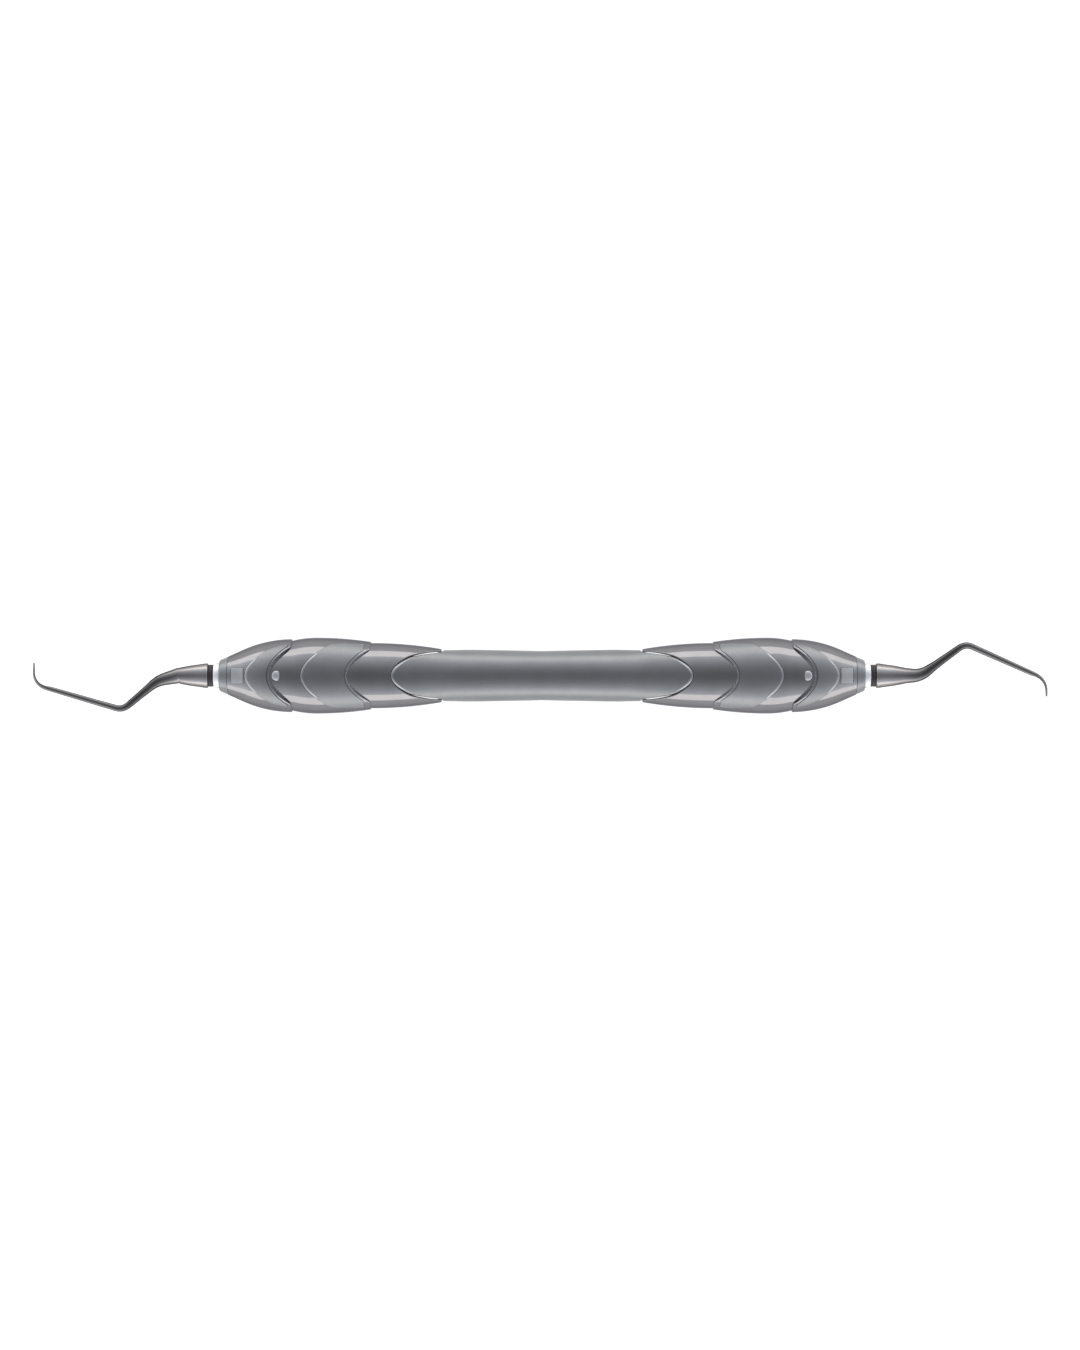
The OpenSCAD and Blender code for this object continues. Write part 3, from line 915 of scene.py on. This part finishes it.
def make_tip(side_name, inner):
    side = SIDES[side_name]
    sides = TIP_SIDES
    base = [(STUD[1] + 0.05, STUD[2]), (STUD[1] + 0.06, NECK_R), (CONE[0][0] - 0.02, NECK_R),
            (CONE[0][0], NECK_R + 0.03)]
    cone_x = [56.65 + 0.2 * i for i in range(22)]
    cone = CONE[:4] + [(x, eased(CONE, x)) for x in cone_x if x < CONE[-1][0] - 0.05]
    rings = thread_rings(side, inner, sides) + turned_rings(base + cone, inner, sides)
    shank = shank_rings(ROUTES[side_name], inner, sides)
    rings += shank
    points, faces = [p for ring in rings for p in ring], []
    for i in range(len(rings) - 1):
        for k in range(sides):
            m = (k + 1) % sides
            corners = (i * sides + k, i * sides + m, (i + 1) * sides + m, (i + 1) * sides + k)
            faces.append((corners, 0))
    last = (len(rings) - 1) * sides
    faces.append((tuple(range(sides)), 0))
    faces.append((tuple(last + k for k in range(sides)), 0))
    make_object(f"{side_name}_tip_forged", [(points, faces, (side, 1, 1))], [TIP_STEEL],
                f"{side_name}_tip", "tip_steel", [f"{side_name}_tip"], sharp=50)


make_sleeve()
make_rings()
make_leaves()
make_small_parts()
make_end_rings()
make_tip("left", -1)
make_tip("right", 1)
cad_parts["core_tube"].data.materials.clear()
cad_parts["core_tube"].data.materials.append(CORE)

# ---- studio ----

FLOOR_Z = cad_box[0].z
SKY_TOP = 0.36                 # brightness overhead
SKY_SIDES = 1.7                # how much brighter it is at the long sides
SKY_ENDS = 0.85                # the same towards both ends
SKY_COLOUR = (0.955, 1.0, 1.08, 1)
STRIP_GLOW = 2.5
FLOOR_GLOW = 0.85
LENS = 100.0                   # millimetres, on a sensor 36 mm high
FRAME_HEIGHT = 0.2261          # metres of the picture's height at the handle
LOOKS_AT = (-0.00034, 0.00011)


def card(name, line, colour, glow, long=3.0):
    """A studio card: a line of points (y, z) drawn out along X."""
    mesh = bpy.data.meshes.new(name)
    corners = [(x, y, z) for y, z in line for x in (-long, long)]
    faces = [(2 * i, 2 * i + 1, 2 * i + 3, 2 * i + 2) for i in range(len(line) - 1)]
    mesh.from_pydata(corners, [], faces)
    obj = bpy.data.objects.new(name, mesh)
    bpy.context.scene.collection.objects.link(obj)
    material, nodes, _ = principled(f"{name}_paint")
    shader = nodes["Principled BSDF"]
    shader.inputs["Base Color"].default_value = (*colour, 1)
    shader.inputs["Roughness"].default_value = 0.9
    shader.inputs["Specular IOR Level"].default_value = 0.0
    shader.inputs["Emission Color"].default_value = (1, 1, 1, 1)
    shader.inputs["Emission Strength"].default_value = glow
    mesh.materials.append(material)
    return obj


def make_studio():
    """A plain glowing floor, and on both long sides a light that stands up and lies down."""
    card("floor", [(-3.0, FLOOR_Z), (3.0, FLOOR_Z)], (0.4, 0.4, 0.4), FLOOR_GLOW)
    for name, sign in (("far", 1), ("near", -1)):
        line = [(sign * 0.07, FLOOR_Z + 0.0005), (sign * 0.5, FLOOR_Z + 0.0005), (sign * 0.5, 0.165)]
        strip = card(f"strip_{name}", line, (0, 0, 0), STRIP_GLOW, 0.9)
        strip.visible_camera = False


def make_world():
    """A soft box that is dim overhead and lighter towards both long sides of the handle."""
    world = bpy.data.worlds.new("studio")
    bpy.context.scene.world = world
    world.use_nodes = True
    nodes, links = world.node_tree.nodes, world.node_tree.links
    place = nodes.new("ShaderNodeTexCoord")
    split = nodes.new("ShaderNodeSeparateXYZ")
    links.new(place.outputs["Generated"], split.inputs["Vector"])

    def math_node(operation, a, b):
        node = nodes.new("ShaderNodeMath")
        node.operation = operation
        for socket, value in zip(node.inputs, (a, b)):
            if isinstance(value, float):
                socket.default_value = value
            else:
                links.new(value, socket)
        return node.outputs["Value"]

    across, up = split.outputs["Y"], split.outputs["Z"]
    squares = math_node("ADD", math_node("MULTIPLY", across, across), math_node("MULTIPLY", up, up))
    height = math_node("DIVIDE", up, math_node("MAXIMUM", math_node("SQRT", squares, 0.0), 0.001))
    glow = math_node("ADD", math_node("MULTIPLY", height, -SKY_SIDES), SKY_TOP + SKY_SIDES)
    along = math_node("MULTIPLY", split.outputs["X"], split.outputs["X"])
    ends = math_node("MULTIPLY", along, along)
    glow = math_node("ADD", glow, math_node("MULTIPLY", ends, SKY_ENDS))
    background = nodes["Background"]
    background.inputs["Color"].default_value = SKY_COLOUR
    links.new(glow, background.inputs["Strength"])


def make_camera():
    """Straight down on the front, a hundred millimetre lens at the distance that frames it."""
    data = bpy.data.cameras.new("camera")
    data.lens, data.sensor_width = LENS, 36.0
    distance = FRAME_HEIGHT * data.lens / data.sensor_width
    camera = bpy.data.objects.new("camera", data)
    camera.location = (*LOOKS_AT, distance)
    bpy.context.scene.collection.objects.link(camera)
    bpy.context.scene.camera = camera


make_studio()
make_world()
make_camera()
bpy.context.scene.view_settings.view_transform = "Standard"
